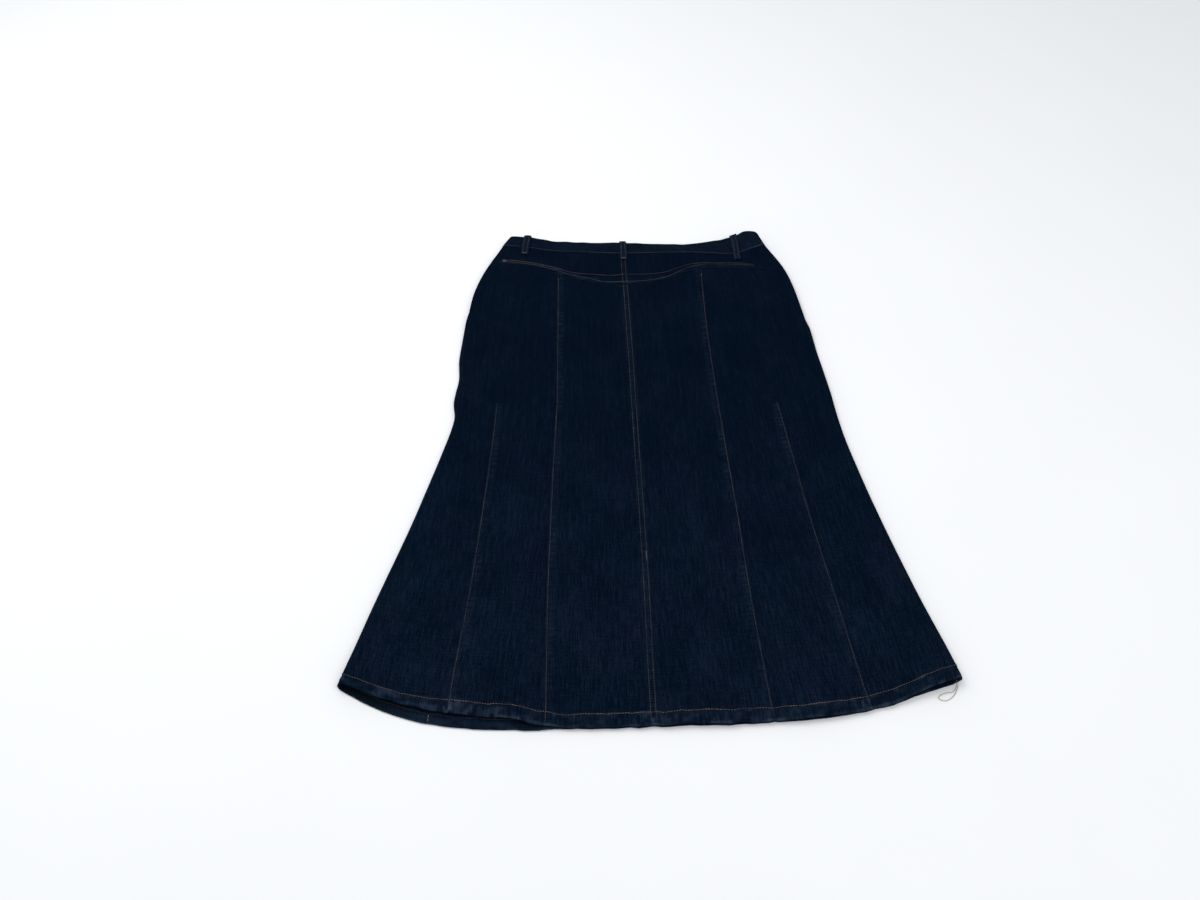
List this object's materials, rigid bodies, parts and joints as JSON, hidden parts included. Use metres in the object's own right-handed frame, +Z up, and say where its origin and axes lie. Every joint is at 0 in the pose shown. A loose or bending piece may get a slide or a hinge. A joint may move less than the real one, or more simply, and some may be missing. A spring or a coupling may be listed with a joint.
{
  "type": "denim skirt",
  "caption": "Long flared denim skirt lying flat, back side up: panelled back with a shaped yoke, waistband with belt loops, stitched hem",
  "frame": {"origin": "middle of the bounding box in plan, on the surface that the skirt lies on", "axes": "+X to the right of the skirt seen from above, +Y from the hem to the waist, +Z up, with the skirt's back facing up"},
  "size_m": [0.7607, 0.8881, 0.0175],
  "materials": {
    "denim": "very dark indigo slub denim, twill weave, matt, with rust-brown topstitching",
    "zip_tape": "dark woven zip tape with closed brass teeth",
    "button_brass": "dull brass, plain, with no mark"
  },
  "bodies": {
    "root": {"back_centre_left": "denim", "back_centre_right": "denim", "back_side_left": "denim", "back_side_right": "denim", "back_yoke_left": "denim", "back_yoke_right": "denim", "front_side_left": "denim", "front_side_right": "denim", "front_centre_left": "denim", "front_centre_right": "denim", "waistband_left": "denim", "waistband_right": "denim", "belt_loop_back_left": "denim", "belt_loop_back_centre": "denim", "belt_loop_back_right": "denim", "belt_loop_front_left": "denim", "belt_loop_front_right": "denim", "zip": "zip_tape", "button": "button_brass"}
  },
  "joints": []
}
